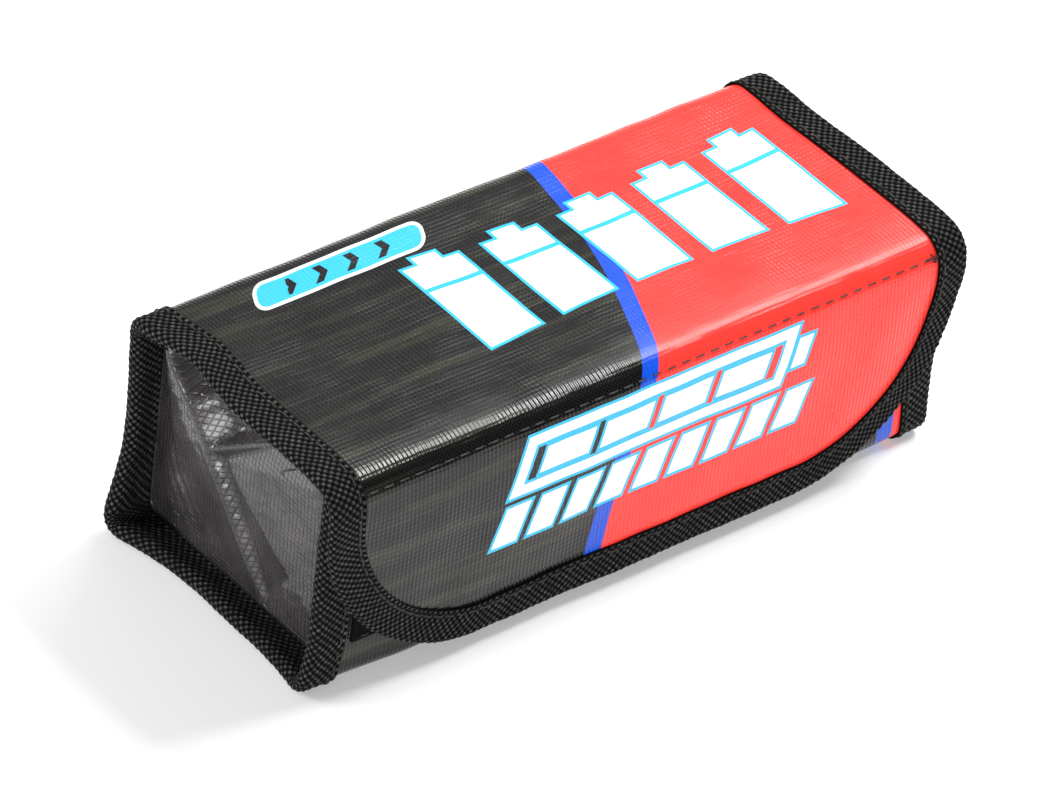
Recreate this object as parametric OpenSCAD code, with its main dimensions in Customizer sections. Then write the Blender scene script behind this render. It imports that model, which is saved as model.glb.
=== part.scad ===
// Soft charge bag for a model's battery pack: one strip of three-layer glass cloth
// makes the front wall, bottom, back wall, lid and flap. Creased end gussets, woven
// edge tape and a hook and loop closure finish it. The lid swings on the cloth of the
// back fold and the flap on the cloth of the front fold.
// +X runs along the bag, +Y to the back wall, +Z up; the origin is at the bottom centre.

/* [Bag] */
// Length over the two bound ends of the body
bag_length = 185; // [160:5:220]
// Depth of the body from the front wall's face to the back wall's face
body_depth = 74; // [64:1:90]
// Height from the standing surface to the top of the lid's tape
bag_height = 62.5; // [58:0.5:75]
// Outside radius of the two bottom corners
bottom_r = 5; // [4:0.5:8]
// Outside radius of the fold between back wall and lid
back_fold_r = 6; // [5:0.5:8]
// Height of the front wall's cut edge
wall_top = 56.5; // [50:0.5:56.5]

/* [Lid and flap] */
// How far each end of the lid stands past the body's end
lid_overhang = 1.5; // [0:0.5:3]
// Outside radius of the fold between lid and flap
front_fold_r = 7; // [6:0.5:8]
// Height of the flap's lowest bound edge
flap_bottom = 3.5; // [1:0.5:6]
// Radius of the flap's two lower corners
flap_corner_r = 48; // [30:1:48]
// Play left in the solids at each cloth hinge
hinge_gap = 0.8; // [0.8:0.1:1.5]

/* [Cloth layers] */
// Thickness of the printed outer cloth
cover_t = 0.5; // [0.3:0.1:0.6]
// Thickness of the glass-fibre middle layer
core_t = 0.6; // [0.4:0.1:0.8]
// Thickness of the inner cloth
lining_t = 0.3; // [0.2:0.1:0.4]

/* [End gussets] */
// Depth of the recess from the bound end to the gusset's seam
recess = 10; // [9:0.5:12]
// How far the crease's peak stands out of the seam plane
pop_out = 6; // [3:0.5:6]
// How far the top edge falls in behind the seam plane
sag_in = 5; // [0:0.5:6]

/* [Edge tape] */
// Thickness of the woven tape
tape_t = 0.7; // [0.5:0.1:0.8]
// Width of the tape's outer leg
tape_leg = 10; // [8:0.5:10]
// Width of the tape's inner leg
inner_leg = 8.3; // [7:0.1:8.3]

/* [Hook and loop] */
// Width of both tapes
closure_w = 25; // [20:1:25]
// Height of the loop tape's lower edge
loop_bottom = 12.5; // [12:0.5:14]
// Height of the hook tape's lower edge
hook_bottom = 13; // [13:0.5:14]
// Length of the hook tape
hook_length = 100; // [60:5:100]
// Thickness of the loop tape
loop_t = 1.3; // [1:0.1:1.4]
// Thickness of the hook tape
hook_t = 1.2; // [1:0.1:1.3]

/* [Stitching] */
// Thread radius
thread_r = 0.25; // [0.15:0.05:0.3]
// Length of one stitch
stitch_length = 3.4; // [2:0.2:4]
// Distance from one stitch to the next
stitch_pitch = 5; // [4.5:0.5:8]

/* [Hidden] */
$fn = 64;

// Depths into the cloth, measured from its outer face
core_at = cover_t;
lining_at = cover_t + core_t;
cloth_t = cover_t + core_t + lining_t;
gusset_t = cover_t;
flange_t = cloth_t + gusset_t;
closure_play = 0.2;
flap_standoff = loop_t + hook_t + closure_play;

// Faces of the cloth strip; the whole bag is centred on Y
back_y = (body_depth + flap_standoff + cloth_t) / 2;
front_y = back_y - body_depth;
flap_y = -back_y;
floor_z = tape_t;
top_z = bag_height - tape_t;
gusset_top = top_z - back_fold_r;

// Cut ends of the strip, inside the tape
body_half = bag_length / 2 - tape_t;
lid_half = body_half + lid_overhang;
seam_x = bag_length / 2 - recess;

// Lid and flap
lid_back_y = back_y - back_fold_r - hinge_gap;
lid_front_y = flap_y + front_fold_r;
fold_z = top_z - front_fold_r;
flap_top = fold_z - hinge_gap;
flap_corner_x = lid_half - flap_corner_r;
flap_corner_z = flap_bottom + tape_t + flap_corner_r;

// Pieces that lie between the two end seams stop short of them by this much
seam_clear = 1;
between_seams = seam_x - seam_clear;

// Stitch rows run this far in from the tape's inner edge
stitch_inset = 1.6;
// A thread lies on its cloth with this much air under it
thread_lift = thread_r + 0.02;

// Corners of a gusset: share of the depth from the front wall, share of the height,
// and how far the point stands out of the seam plane
gusset_peak = [0.63, 0.80, pop_out];
gusset_rim = [
    [1, 0, 0],
    [0.22, 0, 0],
    [0, 0, 0],
    [0, 0.88, 0],
    [0, 1, 0],
    [0.46, 1, -sag_in],
    [0.85, 1, pop_out - 0.5],
    [1, 1, 0]
];

// ---------------------------------------------------------------- shared shapes

// Carries a profile drawn in (y, z) along X from x0 to x1
module along_x(x0, x1) {
    translate([x0, 0, 0]) rotate([90, 0, 90]) linear_extrude(x1 - x0) children();
}

// The waste outside a quarter circle, for a corner at the origin
module corner_waste(r) {
    difference() {
        translate([-1, -1]) square(r + 1);
        translate([r, r]) circle(r);
    }
}

// The bag's closed cross-section, depth d into the cloth
module bag_section(d) {
    y0 = front_y + d;
    y1 = back_y - d;
    z0 = floor_z + d;
    z1 = top_z - d;
    difference() {
        translate([y0, z0]) square([y1 - y0, z1 - z0]);
        translate([y0, z0]) corner_waste(bottom_r - d);
        translate([y1, z0]) mirror([1, 0]) corner_waste(bottom_r - d);
        translate([y1, z1]) rotate(180) corner_waste(back_fold_r - d);
    }
}

// Front wall, bottom, back wall and back fold, between depths d0 and d1
module wall_band(d0, d1) {
    difference() {
        bag_section(d0);
        bag_section(d1);
        translate([-bag_length, wall_top])
            square([bag_length + back_y - back_fold_r, bag_height]);
    }
}

// The same without the fold: what lies inside the end seams
module seam_band(d0, d1) {
    difference() {
        wall_band(d0, d1);
        translate([-bag_length, gusset_top]) square([2 * bag_length, bag_height]);
    }
}

// Lid and front fold between depths d0 and d1
module lid_band(d0, d1) {
    translate([lid_front_y, top_z - d1]) square([lid_back_y - lid_front_y, d1 - d0]);
    intersection() {
        translate([lid_front_y, fold_z]) difference() {
            circle(front_fold_r - d0);
            circle(front_fold_r - d1);
        }
        translate([lid_front_y - 2 * front_fold_r, fold_z])
            square(2 * front_fold_r);
    }
}

// The flap's outline in (x, z), set in from the cut edge of its cloth
module flap_outline(inset) {
    r = flap_corner_r - inset;
    intersection() {
        union() {
            for (side = [-1, 1]) translate([side * flap_corner_x, flap_corner_z]) circle(r);
            translate([-flap_corner_x, flap_corner_z - r]) square([2 * flap_corner_x, r]);
            translate([-flap_corner_x - r, flap_corner_z])
                square([2 * (flap_corner_x + r), bag_height]);
        }
        translate([-bag_length, -bag_height]) square([2 * bag_length, bag_height + flap_top]);
    }
}

// Carries an outline drawn in (x, z) along Y from y0 to y1
module along_y(y0, y1) {
    translate([0, y1, 0]) rotate([90, 0, 0]) linear_extrude(y1 - y0) children();
}

// Creased end panel of the left end, from depth d0 to d1 behind its outer face, filling the
// walls from the given depth inwards
module gusset_panel(d0, d1, wall_depth) {
    wide = body_depth - 2 * cloth_t;
    high = gusset_top - floor_z - cloth_t;
    count = len(gusset_rim);
    corners = concat(gusset_rim, [gusset_peak]);
    function placed(p, d) =
        [-seam_x - p.z + d, front_y + cloth_t + p.x * wide, floor_z + cloth_t + p.y * high];
    outer = [for (p = corners) placed(p, d0)];
    inner = [for (p = corners) placed(p, d1)];
    back = count + 1;
    faces = [for (i = [0 : count - 1]) let (j = (i + 1) % count) each [
        [count, j, i],
        [back + count, back + i, back + j],
        [i, j, back + j, back + i]
    ]];
    intersection() {
        polyhedron(concat(outer, inner), faces, convexity = 4);
        along_x(-bag_length, 0) bag_section(wall_depth);
    }
}

// One row of stitches along X, centred at the origin
module stitch_row(length) {
    count = floor(length / stitch_pitch);
    for (i = [0 : count - 1]) translate([(i - (count - 1) / 2) * stitch_pitch, 0, 0])
        rotate([0, 90, 0]) cylinder(h = stitch_length, r = thread_r, center = true);
}

// Stitches along the edge of a sewn-on strip of the given length and width, in (x, z)
module stitch_frame(length, width) {
    for (side = [-1, 1]) translate([0, 0, side * (width / 2 - stitch_inset)])
        stitch_row(length - 2 * stitch_inset);
    for (side = [-1, 1]) translate([side * (length / 2 - stitch_inset), 0, 0])
        rotate([0, 90, 0]) stitch_row(width - 4 * stitch_inset);
}

// ---------------------------------------------------------------- body

module shell_layer(d, t) {
    along_x(-body_half, body_half) wall_band(d, d + t);
}

module outer_shell() {
    color([0.06, 0.06, 0.07]) shell_layer(0, cover_t);
}

module shell_core() {
    color([0.82, 0.82, 0.78]) shell_layer(core_at, core_t);
}

module shell_lining() {
    color([0.75, 0.76, 0.77]) shell_layer(lining_at, lining_t);
}

// Outer cloth of an end: the creased panel and the flange sewn to the strip
module gusset() {
    gusset_panel(0, gusset_t, cloth_t);
    along_x(-body_half, -seam_x + gusset_t) seam_band(cloth_t, flange_t);
}

module left_gusset() {
    color([0.1, 0.1, 0.11]) gusset();
}

module right_gusset() {
    color([0.1, 0.1, 0.11]) mirror([1, 0, 0]) gusset();
}

module left_gusset_lining() {
    color([0.72, 0.73, 0.74]) gusset_panel(gusset_t, gusset_t + lining_t, flange_t);
}

module right_gusset_lining() {
    color([0.72, 0.73, 0.74])
        mirror([1, 0, 0]) gusset_panel(gusset_t, gusset_t + lining_t, flange_t);
}

// Tape folded over the end seam: outer leg, inner leg and the fold between them
module end_binding() {
    edge = -bag_length / 2;
    along_x(edge, edge + tape_leg) wall_band(-tape_t, 0);
    along_x(edge, edge + inner_leg) seam_band(flange_t, flange_t + tape_t);
    along_x(edge, edge + tape_t) wall_band(-tape_t, flange_t + tape_t);
}

module left_end_binding() {
    color([0.13, 0.13, 0.13]) end_binding();
}

module right_end_binding() {
    color([0.13, 0.13, 0.13]) mirror([1, 0, 0]) end_binding();
}

module front_rim_binding() {
    low = wall_top + tape_t - tape_leg;
    color([0.13, 0.13, 0.13]) along_x(-between_seams, between_seams) {
        translate([front_y - tape_t, low]) square([tape_t, tape_leg]);
        translate([front_y + cloth_t, low]) square([tape_t, tape_leg]);
        translate([front_y - tape_t, wall_top]) square([cloth_t + 2 * tape_t, tape_t]);
    }
}

module loop_tape() {
    color([0.08, 0.08, 0.09])
        translate([-between_seams, front_y - loop_t, loop_bottom])
        cube([2 * between_seams, loop_t, closure_w]);
}

// Thread on an end tape: a row on each wall outside, and one along the bottom inside
module end_stitching() {
    row_x = -bag_length / 2 + tape_leg - stitch_inset;
    high = wall_top - floor_z - 2 * bottom_r;
    for (y = [front_y - tape_t - thread_lift, back_y + tape_t + thread_lift])
        translate([row_x, y, (wall_top + floor_z) / 2]) rotate([0, 90, 0]) stitch_row(high);
    translate([row_x, (front_y + back_y) / 2, floor_z + flange_t + tape_t + thread_lift])
        translate([inner_leg - tape_leg, 0, 0])
        rotate([0, 0, 90]) stitch_row(body_depth - 4 * bottom_r);
}

module left_end_stitching() {
    color([0.05, 0.05, 0.05]) end_stitching();
}

module right_end_stitching() {
    color([0.05, 0.05, 0.05]) mirror([1, 0, 0]) end_stitching();
}

module front_rim_stitching() {
    row_z = wall_top + tape_t - tape_leg + stitch_inset;
    color([0.05, 0.05, 0.05])
        translate([0, front_y - tape_t - thread_lift, row_z]) stitch_row(2 * between_seams);
}

module loop_tape_stitching() {
    color([0.05, 0.05, 0.05])
        translate([0, front_y - loop_t + thread_r, loop_bottom + closure_w / 2])
        stitch_frame(2 * between_seams, closure_w);
}

// ---------------------------------------------------------------- lid

module lid_layer(d, t) {
    along_x(-lid_half, lid_half) lid_band(d, d + t);
}

module lid_cover() {
    color([0.85, 0.25, 0.22]) lid_layer(0, cover_t);
}

module lid_core() {
    color([0.82, 0.82, 0.78]) lid_layer(core_at, core_t);
}

module lid_lining() {
    color([0.75, 0.76, 0.77]) lid_layer(lining_at, lining_t);
}

// Tape folded over one end of the lid
module lid_binding() {
    edge = -lid_half - tape_t;
    along_x(edge, edge + tape_leg) lid_band(-tape_t, 0);
    along_x(edge, edge + inner_leg) lid_band(cloth_t, cloth_t + tape_t);
    along_x(edge, edge + tape_t) lid_band(-tape_t, cloth_t + tape_t);
}

module lid_left_binding() {
    color([0.13, 0.13, 0.13]) lid_binding();
}

module lid_right_binding() {
    color([0.13, 0.13, 0.13]) mirror([1, 0, 0]) lid_binding();
}

module lid_stitching() {
    row_x = lid_half + tape_t - tape_leg + stitch_inset;
    middle_y = (lid_front_y + lid_back_y) / 2;
    color([0.05, 0.05, 0.05]) for (side = [-1, 1])
        translate([side * row_x, middle_y, top_z + tape_t + thread_lift])
        rotate([0, 0, 90]) stitch_row(lid_back_y - lid_front_y);
}

// The row of thread along the front fold
module fold_stitching() {
    angle = 25;
    r = front_fold_r + thread_lift;
    row_length = 2 * (lid_half + tape_t - tape_leg) - stitch_pitch;
    color([0.05, 0.05, 0.05])
        translate([0, lid_front_y - r * cos(angle), fold_z + r * sin(angle)])
        stitch_row(row_length);
}

// ---------------------------------------------------------------- flap

module flap_layer(d, t) {
    along_y(flap_y + d, flap_y + d + t) flap_outline(0);
}

module flap_cover() {
    color([0.9, 0.22, 0.2]) flap_layer(0, cover_t);
}

module flap_core() {
    color([0.82, 0.82, 0.78]) flap_layer(core_at, core_t);
}

module flap_lining() {
    color([0.75, 0.76, 0.77]) flap_layer(lining_at, lining_t);
}

// Tape folded over the flap's free edge
module flap_binding() {
    inner_y = flap_y + cloth_t;
    color([0.13, 0.13, 0.13]) {
        along_y(flap_y - tape_t, flap_y) difference() {
            flap_outline(-tape_t);
            flap_outline(tape_leg - tape_t);
        }
        along_y(inner_y, inner_y + tape_t) difference() {
            flap_outline(-tape_t);
            flap_outline(inner_leg - tape_t);
        }
        along_y(flap_y - tape_t, inner_y + tape_t) difference() {
            flap_outline(-tape_t);
            flap_outline(0);
        }
    }
}

// Thread on the flap's tape: straight along the bottom, then round both corners
module flap_stitching() {
    r = flap_corner_r + tape_t - tape_leg + stitch_inset;
    step = stitch_pitch / r * 180 / PI;
    count = floor(90 / step);
    color([0.05, 0.05, 0.05]) translate([0, flap_y - tape_t - thread_lift, flap_corner_z]) {
        translate([0, 0, -r]) stitch_row(2 * flap_corner_x);
        for (side = [-1, 1], i = [0 : count - 1]) let (a = (i + 0.5) * step)
            translate([side * (flap_corner_x + r * sin(a)), 0, -r * cos(a)])
            rotate([0, -side * a, 0]) rotate([0, 90, 0])
            cylinder(h = stitch_length, r = thread_r, center = true);
    }
}

module hook_tape() {
    color([0.07, 0.07, 0.08])
        translate([-hook_length / 2, flap_y + cloth_t, hook_bottom])
        cube([hook_length, hook_t, closure_w]);
}

// Thread pressed into the hook tape's face
module hook_tape_stitching() {
    color([0.05, 0.05, 0.05])
        translate([0, flap_y + cloth_t + hook_t - thread_r, hook_bottom + closure_w / 2])
        stitch_frame(hook_length, closure_w);
}

outer_shell();
shell_core();
shell_lining();
left_gusset();
right_gusset();
left_gusset_lining();
right_gusset_lining();
left_end_binding();
right_end_binding();
front_rim_binding();
loop_tape();
left_end_stitching();
right_end_stitching();
front_rim_stitching();
loop_tape_stitching();
lid_cover();
lid_core();
lid_lining();
lid_left_binding();
lid_right_binding();
lid_stitching();
fold_stitching();
flap_cover();
flap_core();
flap_lining();
flap_binding();
flap_stitching();
hook_tape();
hook_tape_stitching();
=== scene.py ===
"""Soft charge bag for a model's battery pack, dressed round its CAD frame.

One strip of coated glass cloth makes the front wall, bottom, back wall, lid and flap. Creased
gussets close the ends, woven tape binds every edge, and hook and loop tape holds the flap.
All sizes are metres in the frame's own axes: +X along the bag, +Y to the back, +Z up.
"""

import math

import bpy
import mathutils.geometry
import numpy as np
from mathutils import Matrix, Vector


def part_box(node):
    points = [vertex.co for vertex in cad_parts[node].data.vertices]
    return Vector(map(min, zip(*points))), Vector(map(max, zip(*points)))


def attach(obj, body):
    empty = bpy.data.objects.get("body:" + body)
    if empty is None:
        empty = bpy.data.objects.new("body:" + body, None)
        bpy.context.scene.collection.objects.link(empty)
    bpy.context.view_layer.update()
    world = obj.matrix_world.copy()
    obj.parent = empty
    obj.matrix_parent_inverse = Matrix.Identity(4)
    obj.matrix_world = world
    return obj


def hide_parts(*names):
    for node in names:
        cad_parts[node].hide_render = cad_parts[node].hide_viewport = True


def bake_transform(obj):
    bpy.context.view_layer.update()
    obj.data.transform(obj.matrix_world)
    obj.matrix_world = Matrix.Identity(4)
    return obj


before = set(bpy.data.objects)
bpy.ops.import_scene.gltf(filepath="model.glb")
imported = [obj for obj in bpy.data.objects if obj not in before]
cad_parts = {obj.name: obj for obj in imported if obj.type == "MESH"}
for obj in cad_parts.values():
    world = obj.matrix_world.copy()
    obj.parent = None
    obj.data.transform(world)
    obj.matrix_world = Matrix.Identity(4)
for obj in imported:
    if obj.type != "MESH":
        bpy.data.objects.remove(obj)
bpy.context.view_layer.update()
MM = 0.001

# ---------------------------------------------------------------- camera
# A long lens looks down on the lid and the flap from the bag's left front corner.

CAMERA_AZIMUTH = math.radians(-43.31)
CAMERA_ELEVATION = math.radians(37.47)
CAMERA_ROLL = math.radians(-7.28)
CAMERA_DISTANCE = 2.0158
CAMERA_TARGET = Vector((-2.45, 2.05, 24.37)) * MM

lens = bpy.data.cameras.new("lens")
lens.sensor_width = 36.0
lens.lens = 298.8
lens.clip_end = 50.0
camera = bpy.data.objects.new("camera", lens)
bpy.context.scene.collection.objects.link(camera)
to_camera = Vector(
    (
        math.sin(CAMERA_AZIMUTH) * math.cos(CAMERA_ELEVATION),
        -math.cos(CAMERA_AZIMUTH) * math.cos(CAMERA_ELEVATION),
        math.sin(CAMERA_ELEVATION),
    )
)
level_right = Vector((0, 0, 1)).cross(to_camera).normalized()
level_up = to_camera.cross(level_right)
camera_right = math.cos(CAMERA_ROLL) * level_right - math.sin(CAMERA_ROLL) * level_up
camera_up = math.sin(CAMERA_ROLL) * level_right + math.cos(CAMERA_ROLL) * level_up
turn = Matrix((camera_right, camera_up, to_camera)).transposed().to_4x4()
camera.matrix_world = Matrix.Translation(CAMERA_TARGET + to_camera * CAMERA_DISTANCE) @ turn
bpy.context.scene.camera = camera

# ---------------------------------------------------------------- studio
# A white table in a bright white tent. A soft light and a weaker one beside it hang over the
# bag's right end, one stands behind its left end, and a long low one in front lights the flap.


def plain_object(name, data):
    """Puts a mesh or light into the scene under the given name."""
    thing = bpy.data.objects.new(name, data)
    bpy.context.scene.collection.objects.link(thing)
    return thing


def soft_light(name, place, target, size, watts):
    """A rectangular light at place that faces target."""
    data = bpy.data.lights.new(name, "AREA")
    data.shape = "RECTANGLE"
    data.size, data.size_y = size
    data.energy = watts
    light = plain_object(name, data)
    away = (Vector(place) - Vector(target)).normalized()
    light.location = place
    light.rotation_euler = away.to_track_quat("Z", "Y").to_euler()
    return light


soft_light("top_light", (0.72, -0.04, 1.05), (0, 0, 0.03), (0.5, 0.40), 19.0)
soft_light("sheen_light", (0.70, 0.38, 0.98), (0, 0, 0.03), (0.5, 0.34), 4.0)
soft_light("left_light", (-0.85, 0.70, 0.50), (-0.08, 0, 0.03), (0.5, 0.4), 9.0)
soft_light("front_light", (-0.95, -1.12, 0.30), (-0.04, 0, 0.03), (1.0, 0.42), 17.0)

# the tent is open towards the front right, so the gloss of the front fold falls off to black
TENT_OPENING = (0.52, -0.80, 0.30)
tent = bpy.data.worlds.new("tent")
tent.use_nodes = True
tent_nodes, tent_links = tent.node_tree.nodes, tent.node_tree.links
direction = tent_nodes.new("ShaderNodeTexCoord")
towards = tent_nodes.new("ShaderNodeVectorMath")
towards.operation = "DOT_PRODUCT"
towards.inputs[1].default_value = TENT_OPENING
opening = tent_nodes.new("ShaderNodeMapRange")
opening.interpolation_type = "SMOOTHSTEP"
for name, value in (("From Min", 0.50), ("From Max", 0.88), ("To Min", 0.58), ("To Max", 0.03)):
    opening.inputs[name].default_value = value
tent_links.new(direction.outputs["Generated"], towards.inputs[0])
tent_links.new(towards.outputs["Value"], opening.inputs["Value"])
tent_links.new(opening.outputs["Result"], tent_nodes["Background"].inputs["Strength"])
tent_nodes["Background"].inputs["Color"].default_value = (1.0, 1.0, 1.0, 1.0)
bpy.context.scene.world = tent
bpy.context.scene.view_settings.view_transform = "Standard"

table_mesh = bpy.data.meshes.new("table")
table_mesh.from_pydata([(-4, -4, 0), (4, -4, 0), (4, 4, 0), (-4, 4, 0)], [], [(0, 1, 2, 3)])
table = plain_object("table", table_mesh)
table_paint = bpy.data.materials.new("table_paint")
table_paint.use_nodes = True
white_paint = table_paint.node_tree.nodes["Principled BSDF"].inputs
white_paint["Base Color"].default_value = (0.68, 0.68, 0.68, 1)
white_paint["Roughness"].default_value = 0.5
white_paint["Emission Color"].default_value = (1, 1, 1, 1)
white_paint["Emission Strength"].default_value = 0.27
table_mesh.materials.append(table_paint)

# ---------------------------------------------------------------- the cloth strip
# Front wall, bottom, back wall, lid and flap are one strip of three-layer glass cloth, about
# 186 mm wide. It is folded round the bag's cross-section, and its folds are the two hinges.

shell_low, shell_high = (np.array(c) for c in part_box("outer_shell"))
lid_high = np.array(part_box("lid_cover")[1])
flap_low = np.array(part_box("flap_cover")[0])

FRONT_Y, BACK_Y, FLAP_Y = shell_low[1], shell_high[1], flap_low[1]
FLOOR_Z, TOP_Z, FLAP_LOW_Z = shell_low[2], lid_high[2], flap_low[2]
TAPE_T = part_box("lid_left_binding")[1].z - lid_high[2]
WALL_TOP_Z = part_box("front_rim_binding")[1].z - TAPE_T
BODY_HALF, LID_HALF = shell_high[0], lid_high[0]
BOTTOM_R, BACK_FOLD_R, FRONT_FOLD_R = 5 * MM, 6 * MM, 7 * MM
FLAP_CORNER_R = 48 * MM
CLOTH_T = 1.4 * MM
SEAM_X = 82.5 * MM


def rounded_path(corners, radii, step):
    """Straight runs between corners, joined by arcs of the given radii.

    Every turn is a left turn of 90 degrees in (y, z). Gives points about step apart, the
    outward normals, which lie to the right of the walk, and the distance walked.
    """
    corners = np.array(corners, float)
    legs = np.diff(corners, axis=0)
    ways = legs / np.linalg.norm(legs, axis=1)[:, None]
    cuts = np.concatenate([[0], radii, [0]])
    points, normals = [], []
    for i, way in enumerate(ways):
        right = np.array([way[1], -way[0]])
        a = corners[i] + way * cuts[i]
        b = corners[i + 1] - way * cuts[i + 1]
        count = max(2, int(np.linalg.norm(b - a) / step))
        share = np.linspace(0, 1, count)[:, None]
        points.append(a + (b - a) * share)
        normals.append(np.tile(right, (count, 1)))
        if i + 1 < len(ways):
            r = cuts[i + 1]
            angle = np.linspace(0, math.pi / 2, max(6, int(1.6 * r / step)) + 2)[1:-1, None]
            out = right * np.cos(angle) + way * np.sin(angle)
            points.append(b - right * r + out * r)
            normals.append(out)
    points = np.concatenate(points)
    walked = np.concatenate([[0], np.cumsum(np.linalg.norm(np.diff(points, axis=0), axis=1))])
    return points, np.concatenate(normals), walked


strip_points, strip_normals, strip_walk = rounded_path(
    [
        (FRONT_Y, WALL_TOP_Z),
        (FRONT_Y, FLOOR_Z),
        (BACK_Y, FLOOR_Z),
        (BACK_Y, TOP_Z),
        (FLAP_Y, TOP_Z),
        (FLAP_Y, FLAP_LOW_Z),
    ],
    [BOTTOM_R, BOTTOM_R, BACK_FOLD_R, FRONT_FOLD_R],
    0.2 * MM,
)
QUARTER = math.pi / 2
WALL_RUN = WALL_TOP_Z - FLOOR_Z - BOTTOM_R
FLOOR_RUN = BACK_Y - FRONT_Y - 2 * BOTTOM_R
BACK_RUN = TOP_Z - FLOOR_Z - BOTTOM_R - BACK_FOLD_R
# distance along the strip is 0 where the lid's flat top starts, so the walls are negative
LID_START = WALL_RUN + FLOOR_RUN + BACK_RUN + QUARTER * (2 * BOTTOM_R + BACK_FOLD_R)
strip_walk = strip_walk - LID_START
LID_RUN = (BACK_Y - BACK_FOLD_R) - (FLAP_Y + FRONT_FOLD_R)
FOLD_END = LID_RUN + QUARTER * FRONT_FOLD_R
STRIP_END = strip_walk[-1]
STRIP_START = strip_walk[0]
BACK_FOLD_START = -QUARTER * BACK_FOLD_R
BACK_WALL_START = BACK_FOLD_START - BACK_RUN
FLOOR_END = BACK_WALL_START - QUARTER * BOTTOM_R
FLOOR_START = FLOOR_END - FLOOR_RUN
LID_MIDDLE = LID_RUN / 2


def ramp(x, a, b):
    """0 before a, 1 after b, and a smooth rise between them."""
    t = np.clip((x - a) / (b - a), 0, 1)
    return t * t * (3 - 2 * t)


def waves(x, s, seed, longest, rows=6):
    """A smooth random field: sine waves of random direction, each shorter and lower."""
    draw = np.random.default_rng(seed)
    total = np.zeros(np.broadcast(x, s).shape)
    for k in range(rows):
        angle, phase = draw.uniform(0, math.tau, 2)
        length = longest / 1.45**k
        along = (x * math.cos(angle) + s * math.sin(angle)) / length
        total += np.sin(math.tau * along + phase) / 1.35**k
    return total / 2.2


def hump(s, centre, width):
    """1 at the centre, falling off smoothly over the width on both sides."""
    return np.exp(-(((s - centre) / width) ** 2))


def cloth_lift(x, s):
    """How far the cloth stands out of its true section, along the outward normal."""
    # the end seams hold the cloth to its section, between them it is free
    free = ramp(np.abs(x), 86 * MM, 66 * MM)
    calm = 0.28 * MM * waves(x, s, 11, 60 * MM)
    floor = ramp(s, FLOOR_START, FLOOR_START + 12 * MM) * ramp(s, FLOOR_END, FLOOR_END - 12 * MM)
    corners = hump(s, FLOOR_START - 5 * MM, 9 * MM) + hump(s, FLOOR_END + 5 * MM, 9 * MM)
    lid = ramp(s, 0, 12 * MM) * ramp(s, LID_RUN + 3 * MM, LID_RUN - 12 * MM)
    flap = ramp(s, FOLD_END, FOLD_END + 15 * MM)
    back = ramp(s, BACK_WALL_START, BACK_WALL_START + 15 * MM) * ramp(s, 0, -15 * MM)
    swell = 0.5 * flap + 0.7 * back - 0.35 * lid + 0.55 * floor + 0.7 * corners * (1 - floor)
    # the flap's upper corners lie back against the body's taped rim
    arch = 0.9 * hump(s, 16 * MM, 12 * MM) * ramp(-x, 60 * MM, 92 * MM)
    arch = arch - 1.0 * hump(s, (LID_RUN + FOLD_END) / 2, 8 * MM)
    hug = arch - 1.1 * flap * ramp(np.abs(x), 72 * MM, 90 * MM) * ramp(s, FOLD_END + 42 * MM, FOLD_END)
    return free * (calm * (1 - 0.8 * floor) + swell * MM) + hug * MM


BOTTOM_FRONT_S = FLOOR_START - QUARTER * BOTTOM_R / 2
BOTTOM_BACK_S = FLOOR_END + QUARTER * BOTTOM_R / 2


def half_width(s, side):
    """Half the strip's width at its left, side -1, or right: body, lid, then rounded flap.

    The body's rim is not true: its lower corners flare out and the walls between draw in.
    """
    flare = 3.4 * hump(s, BOTTOM_BACK_S, 13 * MM) + 1.7 * hump(s, BOTTOM_FRONT_S, 9 * MM)
    drawn = 0.9 * hump(s, BACK_WALL_START + 26 * MM, 15 * MM) + 0.8 * hump(s, FLOOR_END - 24 * MM, 20 * MM)
    drawn = drawn + 2.0 * hump(s, 15 * MM, 12 * MM)
    crooked = np.where(np.asarray(side) < 0, flare - drawn, 0.45 * flare - 0.4 * drawn) * MM
    width = BODY_HALF + (LID_HALF - BODY_HALF) * ramp(s, BACK_FOLD_START - 4 * MM, 4 * MM)
    width = width + crooked + 0.15 * MM * waves(0 * s, s, 5, 30 * MM)
    below = np.clip(s - (STRIP_END - FLAP_CORNER_R), 0, FLAP_CORNER_R)
    return width - FLAP_CORNER_R + np.sqrt(FLAP_CORNER_R**2 - below**2)


def on_strip(x, s, lift=0.0):
    """The place in space of point (x, s) of the strip, lifted off the cloth's outer face."""
    x, s, lift = np.broadcast_arrays(x, s, lift)
    y, z = (np.interp(s, strip_walk, strip_points[:, k]) for k in (0, 1))
    ny, nz = (np.interp(s, strip_walk, strip_normals[:, k]) for k in (0, 1))
    long = np.hypot(ny, nz)
    past_end = np.clip(s - STRIP_END, 0, None)
    past_start = np.clip(STRIP_START - s, 0, None)
    high = cloth_lift(x, s) + lift
    up = z - past_end + past_start + high * nz / long
    return np.stack([x, y + high * ny / long, np.maximum(up, 0.02 * MM)], -1)


def grid_faces(rows, columns):
    """Quads of a grid of points stored row by row."""
    corner = (np.arange(rows - 1)[:, None] * columns + np.arange(columns - 1)).ravel()
    return np.stack([corner, corner + 1, corner + columns + 1, corner + columns], 1)


def piece(name, points, faces, material):
    """A smooth mesh object from an array of points and a list of arrays of faces."""
    mesh = bpy.data.meshes.new(name)
    mesh.from_pydata(np.reshape(points, (-1, 3)).tolist(), [], [f for part in faces for f in part.tolist()])
    mesh.polygons.foreach_set("use_smooth", np.ones(len(mesh.polygons), bool))
    mesh.materials.append(material)
    mesh.update()
    return plain_object(name, mesh)


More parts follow.
